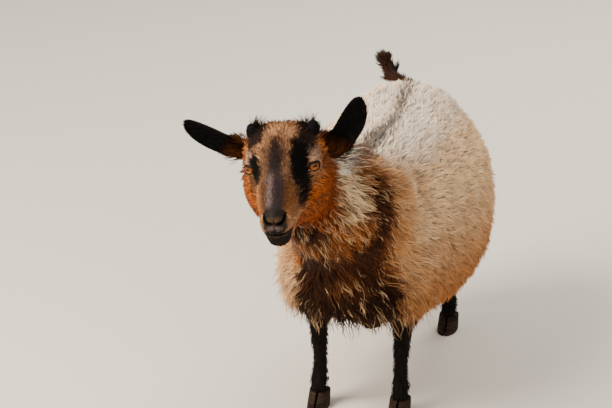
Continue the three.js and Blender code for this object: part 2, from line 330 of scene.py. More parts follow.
def finer(mesh, chosen, rounds):
    """Divides the faces that a test on their middles picks, each time into four."""
    for _ in range(rounds):
        bm = bmesh.new()
        bm.from_mesh(mesh)
        middles = np.array([f.calc_center_median() for f in bm.faces])
        inside = chosen(middles)
        edges = {e for f, hit in zip(bm.faces, inside) if hit for e in f.edges}
        bmesh.ops.subdivide_edges(bm, edges=list(edges), cuts=1, use_grid_fill=True)
        bm.to_mesh(mesh)
        bm.free()


def near_face(middles):
    """The head as far back as the ears' roots."""
    q = on_head(middles)
    x, y, z = q.T
    return (y < 66) & (z > -100) & (np.abs(x) < 78)


def from_eyes(q):
    """How far places are from the middle of the nearer eye."""
    return np.minimum(*(np.linalg.norm(q - EYE * [side, 1, 1], axis=1) for side in SIDES.values()))


def near_features(middles):
    """Round the eyes, and the front of the muzzle."""
    q = on_head(middles)
    return (from_eyes(q) < 24) | (q[:, 1] < -78)


def near_openings(middles):
    """The lids, nostrils and lips."""
    q = on_head(middles)
    _, y, z = q.T
    return (from_eyes(q) < 16) | ((y < -111) & (z > -43) & (z < -5))


EAR_DEPTH = 16  # how far an ear's funnel runs into the head
EAR_CORE = np.array([0, 42, 4])  # what the funnels run towards, in the head's frame


def sink_root(ear):
    """Draws the root of an ear into the head, as a narrowing funnel."""
    q = on_head(places_of(ear.data))
    inward = EAR_CORE - q
    far = np.linalg.norm(inward, axis=1)
    near = ease(far.min() + 20, far.min() + 1, far)
    set_places(ear.data, from_head(q + unit(inward) * (EAR_DEPTH * near)[:, None]))


def add_ears(body):
    """Joins the ears to the body with no seam, and gives back the surface that they had."""
    surfaces = []
    for node in EARS:
        ear = copy_of(node, f"flesh_{node}")
        sink_root(ear)
        apply_modifier(ear, "SUBSURF", levels=2)
        faces = [tuple(face.vertices) for face in ear.data.polygons]
        surfaces.append(BVHTree.FromPolygons(places_of(ear.data), faces))
        apply_modifier(body, "BOOLEAN", operation="UNION", object=ear, solver="EXACT")
        bpy.data.objects.remove(ear)
    return surfaces


def ear_share(mesh, surfaces):
    """1 where a vertex lies on an ear and 0 elsewhere."""
    share = np.zeros(len(mesh.vertices))
    for i, place in enumerate(places_of(mesh)):
        if on_head(place)[2] > -30 and any(s.find_nearest(place, 0.0004)[0] for s in surfaces):
            share[i] = 1
    return share


def skin_shape():
    """The skin before its folds: the flesh rounded, sunk by the coat's depth, with ears and a fine face."""
    body = joined_flesh()
    mesh = body.data
    head = head_share(places_of(mesh))
    legs = ease(215, 165, on_body(places_of(mesh))[:, 2])
    fine = np.maximum(head, legs)
    set_places(mesh, relaxed(mesh, 24, 0.5 * (1 - fine)))
    set_places(mesh, relaxed(mesh, 5, 0.5 * fine))
    places = places_of(mesh)
    set_places(mesh, places - normals_of(mesh) * coat_depth(places)[:, None])
    set_places(mesh, relaxed(mesh, 3, 0.4))
    finer(mesh, near_face, 2)
    set_places(mesh, relaxed(mesh, 6, 0.5 * near_face(places_of(mesh))))
    for region in (near_features, near_openings):
        finer(mesh, region, 1)
        set_places(mesh, relaxed(mesh, 3, 0.5 * region(places_of(mesh))))
    surfaces = add_ears(body)
    set_attribute(mesh, "Ear", ear_share(mesh, surfaces))
    return body


# ---------------------------------------------------------------- folds of the head

LID_LENGTH, UPPER_LID, LOWER_LID = 12.5, 4.3, 5.6  # half the opening's length, and its reach up and down
LID_THICKNESS = 1.3
EYE_RISE = 0.06  # how far up an eye looks, for 1 ahead
EYE_OUTWARD, EYE_CANT = 45, -10  # degrees from straight ahead, and by which the inner corner is lowered
NOSTRIL = [[14.5, -11], [13, -15.5], [9.5, -19], [4.6, -20.5]]  # across and up, the left one


def eye_axes(side):
    """Which way an eye looks, its line towards the inner corner, and up across it, in the head's frame."""
    out, cant = math.radians(EYE_OUTWARD), math.radians(EYE_CANT)
    ahead = unit(np.array([side * math.sin(out), -math.cos(out), EYE_RISE]))
    inner = np.array([-side * math.cos(out), -math.sin(out), -math.tan(cant)])
    inner = unit(inner - ahead * (inner @ ahead))
    up = np.cross(inner, ahead) * side
    return ahead, inner, up * np.sign(up[2])


def lid_gap(q, side):
    """How far places lie outside an eye's opening, negative inside it, how far above its line and how far
    ahead of the eye's middle, all measured over the eyeball."""
    ahead, inner, up = eye_axes(side)
    d = unit(q - EYE * [side, 1, 1])
    across = rows(d @ inner, d @ up)
    angle = np.arctan2(np.linalg.norm(across, axis=1), d @ ahead)
    u, v = (unit(across) * angle[:, None] * EYE_RADIUS).T
    u = u - 1.4 * ease(6, 13, u)  # the inner corner is drawn out
    reach = np.where(v > 0, UPPER_LID, LOWER_LID)
    edge = reach * np.clip(1 - (u / LID_LENGTH) ** 2, 0, 1) ** 0.95
    outside = np.where(np.abs(u) < LID_LENGTH, np.abs(v) - edge, np.hypot(np.abs(u) - LID_LENGTH, v))
    return outside / (1 + 0.5 * np.minimum(np.abs(u) / LID_LENGTH, 1) ** 4), v, d @ ahead


def fold_lids(q, side):
    """The skin drawn over the eyeball, with an opening, a crease over it and a brow."""
    centre = EYE * [side, 1, 1]
    d = q - centre
    far = np.linalg.norm(d, axis=1)
    gap, v, ahead = lid_gap(q, side)
    lid = EYE_RADIUS + LID_THICKNESS + 0.5 * np.exp(-(((gap - 0.8) / 0.8) ** 2))  # with a rim
    over = (far + lid + np.hypot(far - lid, 2.5)) / 2
    over = over - 0.8 * np.exp(-(((gap - 4.0) / 0.9) ** 2)) * ease(0, 3, v)  # the crease over the eye
    over = over - 0.5 * np.exp(-(((gap - 3.4) / 0.8) ** 2)) * ease(0, -3, v)
    opened = ease(0.1, -0.7, gap)
    radius = over * (1 - opened) + (EYE_RADIUS - 2.2) * opened
    share = ease(-0.25, 0.15, ahead) * ease(30, 22, far)
    lidded = mix(q, centre + d / np.maximum(far, 1e-6)[:, None] * radius[:, None], share)
    brow = 1.0 * np.exp(-(((gap - 9.0) / 4.0) ** 2)) * ease(1, 6, v) * share
    return lidded + np.array([side * 0.75, -0.45, 0.5]) * brow[:, None]


def press(q, depth, toward):
    """Places moved by a depth for each, in millimetres."""
    return q + np.array(toward) * depth[:, None]


def fold_nostrils(q):
    """The two slanting slits, with a raised wing over each, and the groove down from the nose."""
    front = ease(-104, -112, q[:, 1])
    for side in SIDES.values():
        flat = q[:, [0, 2]] * [side, 1]
        far, along = distance_to_line(flat, NOSTRIL)
        width = 1.3 + 1.3 * ease(0.25, 1, along)
        q = press(q, 6.5 * ease(width + 0.7, width - 1.0, far) * front, [-0.15 * side, 1, 0.1])
        wing, _ = distance_to_line(flat, [[17.5, -12], [15.5, -19], [10, -24], [3.8, -25]])
        q = press(q, 1.3 * ease(3.6, 0.4, wing) * front, [0.3 * side, -1, -0.1])
        over, _ = distance_to_line(flat, [[12, -8], [7, -13], [3.5, -17]])
        q = press(q, 0.9 * ease(4, 0.5, over) * front, [0, -1, 0.4])
    groove = ease(1.5, 0.1, np.abs(q[:, 0])) * ease(-37, -34, q[:, 2]) * ease(-12, -17, q[:, 2])
    return press(q, 1.3 * groove * front, [0, 1, 0])


def lip_height(q):
    """The height of the line between the lips, which rises to its corners."""
    return -36.5 + 0.8 * ease(0, 14, np.abs(q[:, 0])) + 3.0 * ease(-118, -84, q[:, 1])


def fold_mouth(q):
    """The line between the lips, a full upper lip and a lower one set back."""
    along = ease(-82, -88, q[:, 1])
    over = q[:, 2] - lip_height(q)
    outward = unit(q * [1, 1, 0] - np.array([0, -92, 0]))
    line = 2.6 * np.exp(-((over / 0.8) ** 2))
    upper = -1.3 * np.exp(-(((over - 3.6) / 2.6) ** 2))
    lower = -0.8 * np.exp(-(((over + 2.6) / 1.5) ** 2)) + 0.9 * np.exp(-(((over + 7) / 3) ** 2))
    return q - outward * ((line + upper + lower) * along)[:, None]


def fold_head(body):
    """Lids, nostrils, lips and the hollows of the face."""
    mesh = body.data
    q = on_head(places_of(mesh))
    for side in SIDES.values():
        q = fold_lids(q, side)
        hollow = spot(q, [side * 34, -46, -8], [16, 26, 16])  # before the eye, under the cheekbone's ridge
        q = press(q, 1.2 * hollow, [-side, 0, 0])
        ridge = stroke(q, [[side * 30, -60, -20], [side * 44, -26, -12], [side * 54, 6, -6]], 9)
        q = press(q, 0.8 * ridge, [side, 0, 0])
    q = fold_nostrils(q)
    q = fold_mouth(q)
    set_places(mesh, from_head(q))


# ---------------------------------------------------------------- markings

# The pale wool on the top of the back is painted sunlight, and the warm wool low on the barrel is painted
# warm shade.
WOOL, WARM_SHADED_WOOL, GREY_WOOL, SUNLIT_PALE_WOOL = shade("eac69a"), shade("8e4e12"), shade("c6a078"), shade("e3d3c0")
STRIPE, BAND, SHOULDER_TAN = shade("38302f"), shade("24120a"), shade("b07a4a")
CREAM, RUFF, CHEST = shade("e2c298"), shade("70401f"), shade("120905")
# the deeper rust is painted shade, low on the jaw and behind the cheek
RUST, RUST_SHADE = shade("a4520a"), shade("6e3008")
LOCK_TIP, STREAK = shade("c09c74"), shade("2a1a12")
FOREHEAD, POLL, BRIDGE, MASK = shade("a07250"), shade("07070b"), shade("262025"), shade("040302")
MUZZLE, LIP, LOWER_LIP = shade("6a4228"), shade("150d0a"), shade("6a4a32")
# the palest of the nose's colours is a painted wet highlight
NOSE_LEATHER, NOSE_BROWN, NOSE_HIGHLIGHT = shade("160d05"), shade("48311f"), shade("40312b")
# the pale bridge colour is a painted highlight, on the bridge's lit side and on the wet upper lip
BROW_PALE, BRIDGE_HIGHLIGHT, SIDE_TAN = shade("9c8878"), shade("766360"), shade("88562e")
EAR_BLACK, EAR_BACK, EAR_FRINGE = shade("020202"), shade("1c110b"), shade("94501c")
STOCKING, LEG_TAN, TAIL_DARK = shade("0e0a08"), shade("75502e"), shade("38241a")

MIDLINE = 5  # how far across the withers are
NECK_LINE = [[-72, -78], [-40, -70], [4, -49], [50, -22], [108, 0]]  # back, and how far across its middle is
CREAM_LINE = [[60, -78, 430], [68, -62, 424], [78, -50, 405], [84, -50, 386], [88, -50, 372]]
RUFF_SPOTS = [  # colour, share, middle and reach
    # The two dark spots lie under the chin: partly its dark hair, partly painted shadow of the chin.
    (CHEST, 0.98, (-54, -62, 328), (60, 54, 36)),
    (CHEST, 0.7, (-20, -71, 347), (18, 22, 16)),
    (RUST, 0.5, (-82, 10, 264), (26, 36, 22)),
    (CREAM, 0.9, (-24, -64, 318), (10, 26, 26)),
]
TAIL_LINE = [[4, 446, 378], [-22, 469, 386], [-46, 482, 400], [-60, 483, 422], [-68, 477, 444]]
DORSAL_LINE = [[0, 446], [0, 395], [0, 356], [5, 290], [8, 235], [8, 176], [4, 132], [-2, 96], [4, 40]]
DORSAL_LINE += [[9, 0], [2, -34], [-12, -60]]
DORSAL_WIDTHS = (5, 4.5, 4.5, 4.5, 5, 8, 11, 11, 9, 11, 12, 8)
EAR_LINES = {1: [[50, 42, -6], [111, 42, 82]], -1: [[-44, 42, 8], [-138, 47, 62]]}  # from root to tip
EAR_HOLLOW = {1: [0.1, -0.95, 0], -1: [-0.2, -0.95, -0.2]}  # which way the hollow sides face


def neck_middle(p):
    """How far across the neck's middle is, beside these places."""
    return np.interp(p[:, 1], *zip(*NECK_LINE))


def ruff_edge(p):
    """How far a place lies ahead of the dark band that ends the ruff."""
    x, y, z = p.T
    turned = ease(40, -90, x) * ease(285, 350, z)
    low = ease(262, 205, z)
    return 26 + 60 * turned - 24 * ease(385, 420, z) + 24 * low - y


def band_share(p):
    """1 on the dark band down the back edge of the ruff."""
    _, _, z = p.T
    ahead = ruff_edge(p) + 7 * ripple(p, 36, 3)
    fore = 50 - 14 * ease(365, 395, z) - 8 * ease(300, 260, z)
    high = ease(402, 380, z) * ease(190, 225, z)
    return ease(8, 18, ahead) * ease(fore, fore - 12, ahead) * high


def stripe_share(p):
    """How much of the dark stripe along the back falls on each place; it keeps to the crest of the neck."""
    _, y, z = p.T
    lowest = 375 + 38 * ease(60, 10, y) + 12 * ease(-20, -40, y)
    stripe = brush(p[:, :2], DORSAL_LINE, DORSAL_WIDTHS, 7 + 2 * ripple(p, 25, 2))
    return stripe * ease(lowest, lowest + 12, z)


def body_markings(p):
    """Colours on the trunk, neck, legs and tail, from places in the body's frame."""
    x, y, z = p.T
    wander = ripple(p, 70, 1)
    # how much painted warm shade falls on each side: most on its left side, away from the light
    shaded_side = 1 - 0.6 * ease(0, -60, x)  # paler on its right side
    withers = mirrored(p - [MIDLINE, 0, 0])
    ahead = ruff_edge(p) + 7 * ripple(p, 36, 3)
    trunk = painted(
        WOOL,
        (GREY_WOOL, 0.5 + 0.5 * wander),
        # the top of the back is painted paler: painted sunlight on it
        (SUNLIT_PALE_WOOL, ease(360, 405, z)),
        # the warm brown low on the barrel and on its left side is painted shade
        (WARM_SHADED_WOOL, 0.85 * shaded_side * ease(340, 190, z + 12 * wander)),
        (SHOULDER_TAN, 0.75 * spot(withers, [55, 66, 396], [58, 84, 46])),
        (SHOULDER_TAN, 0.9 * ease(-44, -20, ahead) * ease(225, 300, z)),
    )
    beside = mirrored(p - neck_middle(p)[:, None] * [1, 0, 0])
    # the crest's pale top is painted sunlight
    crest = mix(SUNLIT_PALE_WOOL, SHOULDER_TAN, 0.85 * ease(0, 12, x))
    ruff = painted(
        RUFF,
        (RUST, 0.8 * spot(beside, [30, -62, 335], [55, 45, 46])),
        (RUST, 0.45 * spot(beside, [88, -45, 330], [42, 60, 60])),
        (CHEST, 0.92 * ease(266, 222, z + 10 * ripple(p, 40, 4))),
        (CREAM, 0.92 * stroke(beside, CREAM_LINE, 40, 0.65)),
        *((paint, share * np.minimum(1.8 * spot(p, *where), 1)) for paint, share, *where in RUFF_SPOTS),
        (BAND, 0.9 * band_share(p)),
        (crest, ease(410, 424, z) * ease(-70, -45, y)),
    )
    above = ease(140, 165, z)
    above = above * (1 - ease(64, 80, np.abs(x + 6)) * ease(272, 250, z))  # not on the shoulders
    hind = y > 250
    lean, apart, back = np.where(hind[:, None], LEG_AXES["hind"], LEG_AXES["fore"]).T
    off = np.hypot(np.abs(x - lean) - apart, y - back)
    behind = ease(-4, 12, y - back)
    stocking = mix(STOCKING, LEG_TAN, 0.7 * behind * ease(60, 110, z))
    tail = ease(34, 24, distance_to_line(p, TAIL_LINE)[0]) * ease(378, 392, z) * ease(452, 462, y)
    return painted(
        trunk,
        (ruff, ease(-12, 6, ahead) * above),
        (STRIPE, 0.85 * stripe_share(p)),
        (stocking, ease(190, 150, z + 8 * ripple(p, 30, 5)) * ease(62, 44, off)),
        (TAIL_DARK, tail),
    )


def brush(front, line, widths, soft):
    """1 within the half width of a bent line, which changes along it, fading out over a soft edge."""
    far, share = distance_to_line(front, line)
    return ease(soft, -0.4 * soft, far - np.interp(share, np.linspace(0, 1, len(widths)), widths))


# Strokes of the face seen from its front, across and up: their bent lines, and half widths along them.
MASKS = [
    ([[25, 37], [28, 29], [29, 19], [32, 6], [33, -6], [32, -16], [30, -27]], (9, 11, 10, 7.5, 6, 5, 3)),
    ([[-34, 26], [-34, 20], [-33, 14], [-33, 7]], (5, 9.5, 8.5, 5)),
]
FAINT_MASK = ([[-33, 8], [-38, -4], [-42, -15], [-37, -26]], (5, 4.5, 4, 3))
SPOT = ([[-5, 39], [-4, 34], [-3, 28]], (5.5, 8, 7))
BROW = ([[-4, 25], [-3, 12], [-2, 2]], (22, 24, 18))
BRIDGE_LINE = ([[-3, 30], [-3, 18], [-2, 9], [-1, -3]], (8, 10, 10, 10))
BRIDGE_SHINE = ([[-9, 17], [-9, 2]], (2, 3))
POLL_CORNERS = ([[38, 62], [37, 50], [38, 40], [42, 30]], (18, 16, 10, 5))
POLL_EDGE = ([[36, 52], [12, 54]], (5, 2.5))
PALE_BROWS = ([[40, 27], [48, 24], [53, 14]], (3.5, 6, 5))
TAN_UNDER = ([[37, -7], [48, -7]], (3, 5))
TAN_SIDES = ([[20, 12], [20, -4], [19, -18]], (5, 5, 5))
NOSE_BAND = ([[-6, -14.5], [8, -14.5]], (2, 2))
NOSE_SHINE = ([[-6, -23], [4, -23]], (2, 2))
LIP_SHINE = ([[2, -26], [9, -27]], (1.5, 1.5))
NOSE_SIDES = [[14, -108, -2], [18.5, -110, -11], [21, -106, -19]]  # beside the nose, in the head's frame


def head_markings(q):
    """Colours on the head, from places in its frame."""
    x, y, z = q.T
    wide = np.abs(x)
    front = q[:, [0, 2]]
    both = mirrored(q)[:, [0, 2]]
    fine = ripple(q, 9, 11)
    face = ease(30, 5, y)
    top = ease(4, 20, z)
    cheek = ease(-2, -26, z + 5 * fine) * ease(22, 36, wide + 2 * fine)
    jaw = ease(-34, -48, z) * ease(-84, -64, y)
    begun = 0.3 + 0.6 * ease(30, 14, z)  # the bridge's line is faint on the forehead
    nose = ease(-104, -110, y) * ease(19, 14, wide) * ease(-31, -28, z)
    nostril, _ = distance_to_line(both, NOSTRIL)
    under = np.maximum(ease(-31, -34, z), ease(-25, -28, z) * ease(16, 11, wide))
    lower = np.exp(-(((z - lip_height(q) + 3.2) / 0.9) ** 2)) * ease(-96, -106, y)
    # the rust darkens low on the cheeks and jaw: painted shade under the jaw
    rust = mix(RUST, RUST_SHADE, 0.85 * ease(-20, -42, z + 5 * ripple(q, 24, 12)))
    return painted(
        FOREHEAD,
        (rust, 0.95 * np.maximum(cheek, jaw)),
        # darker brown behind the cheek, where the head meets the neck: partly its hair, partly painted shade
        (RUST_SHADE, 0.85 * ease(10, 26, y) * ease(34, 5, z)),
        (EAR_FRINGE, 0.85 * ease(12, 30, y) * spot(both, [52, 24], [16, 22])),
        (MUZZLE, ease(-50, -68, y) * ease(-16, -4, z) * ease(30, 22, wide)),
        (SIDE_TAN, 0.8 * brush(both, *TAN_SIDES, 6) * ease(-50, -62, y)),
        (BROW_PALE, 0.5 * brush(both, *PALE_BROWS, 5) * face),
        (SIDE_TAN, 0.75 * brush(both, *TAN_UNDER, 6) * face),
        (POLL, 0.97 * brush(both, *POLL_CORNERS, 3 + 2 * fine) * ease(-2, 12, y) * top),
        (POLL, 0.85 * brush(both, *POLL_EDGE, 3 + 2 * fine) * ease(28, 40, y)),
        (STREAK, 0.65 * brush(front, *BROW, 9 + 5 * fine) * face),
        (MASK, 0.92 * brush(front, *SPOT, 8 + 3 * fine) * face),
        (BRIDGE, begun * brush(front, *BRIDGE_LINE, 6 + 2 * fine) * face),
        # a painted highlight down the bridge's right side, which faces the light
        (BRIDGE_HIGHLIGHT, 0.7 * brush(front, *BRIDGE_SHINE, 6) * ease(-40, -60, y)),
        *((MASK, brush(front, *mask, 4 + 2 * fine) * face) for mask in MASKS),
        (MASK, 0.7 * brush(front, *FAINT_MASK, 4) * face),
        (NOSE_LEATHER, nose * ease(-1, -7, z)),
        (NOSE_BROWN, 0.85 * nose * brush(front, *NOSE_BAND, 3)),
        # a painted wet highlight across the bottom of the nose
        (NOSE_HIGHLIGHT, 0.8 * nose * brush(front, *NOSE_SHINE, 3)),
        # the nostrils are painted black: painted shade inside them
        (MASK, nose * ease(2.6, 1.4, nostril)),
        (CREAM, 0.5 * stroke(mirrored(q), NOSE_SIDES, 3.5)),
        (LIP, ease(-84, -96, y) * under),
        # a painted wet highlight on the upper lip under the nose
        (BRIDGE_HIGHLIGHT, 0.6 * brush(both, *LIP_SHINE, 3) * ease(-104, -110, y)),
        (LOWER_LIP, 0.5 * lower),
    )


def rim_of_lids(q):
    """1 on the bare dark edges of the lids."""
    rims = []
    for side in SIDES.values():
        far = np.linalg.norm(q - EYE * [side, 1, 1], axis=1)
        gap, above, _ = lid_gap(q, side)
        rims.append(ease(0.9, 0, gap - 0.5 - 1.9 * ease(0, 2, above)) * ease(18, 16, far))
    return np.maximum(*rims)


def along_ears(q):
    """How far along its ear a place lies, from 0 at the root to 1."""
    left, right = (distance_to_line(q, EAR_LINES[side])[1] for side in (1, -1))
    return np.where(q[:, 0] > 0, left, right)


def ear_markings(q, normals):
    """Colours on the ears: black in the hollow, brown behind, with a pale edge and an orange root."""
    along = along_ears(q)
    facing = np.where(q[:, :1] > 0, np.array(EAR_HOLLOW[1]), np.array(EAR_HOLLOW[-1]))
    hollow = ease(-0.2, 0.25, np.sum(normals * facing, axis=1))
    colour = mix(EAR_BACK, EAR_BLACK, hollow)
    return mix(colour, EAR_FRINGE, ease(0.45, 0.1, along) * (0.9 - 0.65 * hollow))


def markings(places, normals, ear):
    """The colour of the coat at each of these world points."""
    q = on_head(places)
    behind = head_share(places) * (1 - ease(40, 56, q[:, 1]) * ease(16, 0, q[:, 2]))  # the cheeks reach back
    colour = mix(body_markings(on_body(places)), head_markings(q), np.maximum(face_share(places), behind))
    return mix(colour, ear_markings(q, normals @ HEAD_TURN), ear)


# ---------------------------------------------------------------- materials


def new_material(name):
    """A material, its nodes and its shader."""
    material = bpy.data.materials.new(name)
    material.use_nodes = True
    return material, material.node_tree, material.node_tree.nodes["Principled BSDF"]


def feed(node, inputs):
    """Gives a node's inputs numbers, or links them to other nodes' outputs."""
    for name, value in inputs.items():
        if isinstance(value, bpy.types.NodeSocket):
            node.id_data.links.new(value, node.inputs[name])
        else:
            node.inputs[name].default_value = value


def add_node(tree, kind, inputs=None, **settings):
    """Adds a shader node, sets it and feeds it."""
    node = tree.nodes.new(f"ShaderNode{kind}")
    for name, value in settings.items():
        setattr(node, name, value)
    feed(node, inputs or {})
    return node


def attribute(tree, name, output):
    """What a mesh attribute says, as a number, a vector or a colour."""
    return add_node(tree, "Attribute", attribute_name=name).outputs[output]


def ranged(tree, value, *ends):
    """A value carried from between the first two ends to between the last two."""
    return add_node(tree, "MapRange", {0: value, **dict(enumerate(ends, 1))}).outputs[0]


def noise(tree, places, scale, detail):
    """Noise at places, between 0 and 1."""
    return add_node(tree, "TexNoise", {"Vector": places, "Scale": scale, "Detail": detail}).outputs["Fac"]


def vectors(tree, operation, a, b=None):
    """The node of a sum on vectors."""
    inputs = {0: a} if b is None else {0: a, 1: b}
    return add_node(tree, "VectorMath", inputs, operation=operation)


def mixed(tree, share, a, b, blend_type="MIX"):
    """Two colours mixed."""
    inputs = {0: share, 6: a, 7: b}
    return add_node(tree, "Mix", inputs, data_type="RGBA", blend_type=blend_type).outputs[2]


def ramped(tree, value, stops, codes):
    """One colour up to the first stop and the other one past the second, mixed between them."""
    ramp = add_node(tree, "ValToRGB", {"Fac": value})
    for element, stop, code in zip(ramp.color_ramp.elements, stops, codes):
        element.position, element.color = stop, (*shade(code), 1)
    return ramp.outputs["Color"]


def bump(tree, height, strength, distance):
    """Normals roughened by a height."""
    inputs = {"Strength": strength, "Distance": distance, "Height": height}
    return add_node(tree, "Bump", inputs).outputs["Normal"]


def coat_material(name, roughness, sheen):
    """Locks of hair: the tuft's own colour in fine streaks along it."""
    material, tree, shader = new_material(name)
    lock = add_node(tree, "UVMap", uv_map="Lock").outputs["UV"]
    stretch = vectors(tree, "MULTIPLY", lock, (5, 0.7, 1)).outputs[0]
    moved = vectors(tree, "ADD", stretch, attribute(tree, "Own", "Vector")).outputs[0]
    strands = noise(tree, moved, 1.6, 2.0)
    value = ranged(tree, strands, 0.3, 0.7, 0.68, 1.22)
    feed(shader, {
        "Base Color": mixed(tree, 1, attribute(tree, "Hair", "Color"), value, "MULTIPLY"),
        "Normal": bump(tree, strands, 0.35, 0.0004),
        "Roughness": roughness, "Specular IOR Level": 0.05, "Sheen Weight": sheen, "Sheen Roughness": 0.45,
    })
    return material


def skin_material():
    """Skin under the coat: its colour, with fine short hair, and moist leather on nose, lips and lids."""
    material, tree, shader = new_material("skin")
    bare = attribute(tree, "Bare", "Fac")
    place = add_node(tree, "TexCoord").outputs["Object"]
    hair = noise(tree, place, 900.0, 3.0)
    leather = add_node(tree, "TexVoronoi", {"Vector": place, "Scale": 900.0}).outputs["Distance"]
    both = add_node(tree, "Mix", {0: bare, 2: hair, 3: leather}).outputs[0]
    value = ranged(tree, both, 0.2, 0.8, 0.72, 1.2)
    feed(shader, {
        "Base Color": mixed(tree, 1, attribute(tree, "Marking", "Color"), value, "MULTIPLY"),
        "Normal": bump(tree, both, 0.5, 0.0005),
        "Roughness": ranged(tree, bare, 0.0, 1.0, 0.8, 0.5), "Specular IOR Level": 0.12,
    })
    return material


# ---------------------------------------------------------------- the coat

BAKE_PATCH = 0.003  # how wide each tuft's patch is on the skin's map


class Hide:
    """The finished skin as arrays, to grow hair on."""

    def __init__(self, skin):
        mesh = skin.data
        mesh.calc_loop_triangles()
        self.corners = read(mesh.loop_triangles, "vertices", 3, np.int32)
        self.places = places_of(mesh)
        self.normals = normals_of(mesh)
        self.ear = numbers_of(mesh, "Ear")
        loops = read(mesh.loop_triangles, "loops", 3, np.int32)
        self.map = read(mesh.uv_layers["OFBake"].data, "uv", 2)[loops]
        a, b, c = (self.places[self.corners[:, i]] for i in range(3))
        self.areas = np.linalg.norm(np.cross(b - a, c - a), axis=1) / 2
        self.middles = (a + b + c) / 3
        self.middle_ear = self.ear[self.corners].mean(1)
        self.middle_bare = numbers_of(mesh, "Bare")[self.corners].mean(1)

    def roots(self, count, weight, random):
        """About that many evenly spread places on the skin, where weight says how densely."""
        total = np.cumsum(self.areas * weight)
        picks = (np.arange(count) + random.uniform(0, 1, count)) / count * total[-1]
        face = np.searchsorted(total, picks)
        u, v = random.uniform(0, 1, (2, count))
        over = u + v > 1
        u, v = np.where(over, 1 - u, u), np.where(over, 1 - v, v)
        shares = rows(1 - u - v, u, v)[:, :, None]
        corners = self.corners[face]
        return {
            "place": (self.places[corners] * shares).sum(1),
            "normal": unit((self.normals[corners] * shares).sum(1)),
            "map": (self.map[face] * shares).sum(1),
            "ear": (self.ear[corners] * shares[:, :, 0]).sum(1),
        }


def tuft_faces(rings):
    """The faces of one tuft: three sides between its rings, three at the tip and one at the root."""
    faces = []
    for k in range(rings - 1):
        left, right, ridge = 3 * k, 3 * k + 1, 3 * k + 2
        faces.append([left, ridge, ridge + 3, left + 3])
        faces.append([ridge, right, right + 3, ridge + 3])
        faces.append([right, left, left + 3, right + 3])
    left, tip = 3 * (rings - 1), 3 * rings
    faces += [[left, left + 2, tip], [left + 2, left + 1, tip], [left + 1, left, tip], [0, 1, 2]]
    return faces


def tuft_mesh(name, places, normals, rings, colours, maps, locks, own):
    """All tufts of a piece as one mesh. The arrays are by tuft, and then by vertex of a tuft."""
    count, each = places.shape[:2]
    pattern = tuft_faces(rings)
    sizes = np.array([len(face) for face in pattern])
    order = np.array([corner for face in pattern for corner in face])
    mesh = bpy.data.meshes.new(name)
    mesh.vertices.add(count * each)
    mesh.vertices.foreach_set("co", places.astype(np.float32).ravel())
    corners = (np.arange(count)[:, None] * each + order).ravel()
    mesh.loops.add(len(corners))
    mesh.loops.foreach_set("vertex_index", corners.astype(np.int32))
    starts = np.concatenate([[0], np.cumsum(np.tile(sizes, count))[:-1]])
    mesh.polygons.add(len(starts))
    mesh.polygons.foreach_set("loop_start", starts.astype(np.int32))
    mesh.polygons.foreach_set("use_smooth", np.ones(len(starts), bool))
    mesh.update(calc_edges=True)
    set_colours(mesh, "Hair", colours.reshape(-1, 3))
    set_attribute(mesh, "Own", np.repeat(own, each, 0))
    for layer, values in (("OFBake", maps), ("Lock", locks)):
        uv = mesh.uv_layers.new(name=layer)
        uv.data.foreach_set("uv", values.reshape(-1, 2)[corners].astype(np.float32).ravel())
    mesh.normals_split_custom_set_from_vertices(normals.reshape(-1, 3))
    obj = bpy.data.objects.new(name, mesh)
    bpy.context.scene.collection.objects.link(obj)
    return obj


def leaders_of(places, spread, random):
    """For each tuft, the one that its clump draws towards, about spread metres apart."""
    order = random.permutation(len(places))
    cells, leaders = set(), []
    for i in order:
        cell = tuple((places[i] // spread).astype(int))
        if cell not in cells:
            cells.add(cell)
            leaders.append(i)
    tree = KDTree(len(leaders))
    for i in leaders:
        tree.insert(places[i], int(i))
    tree.balance()
    return np.array([tree.find(place)[1] for place in places])


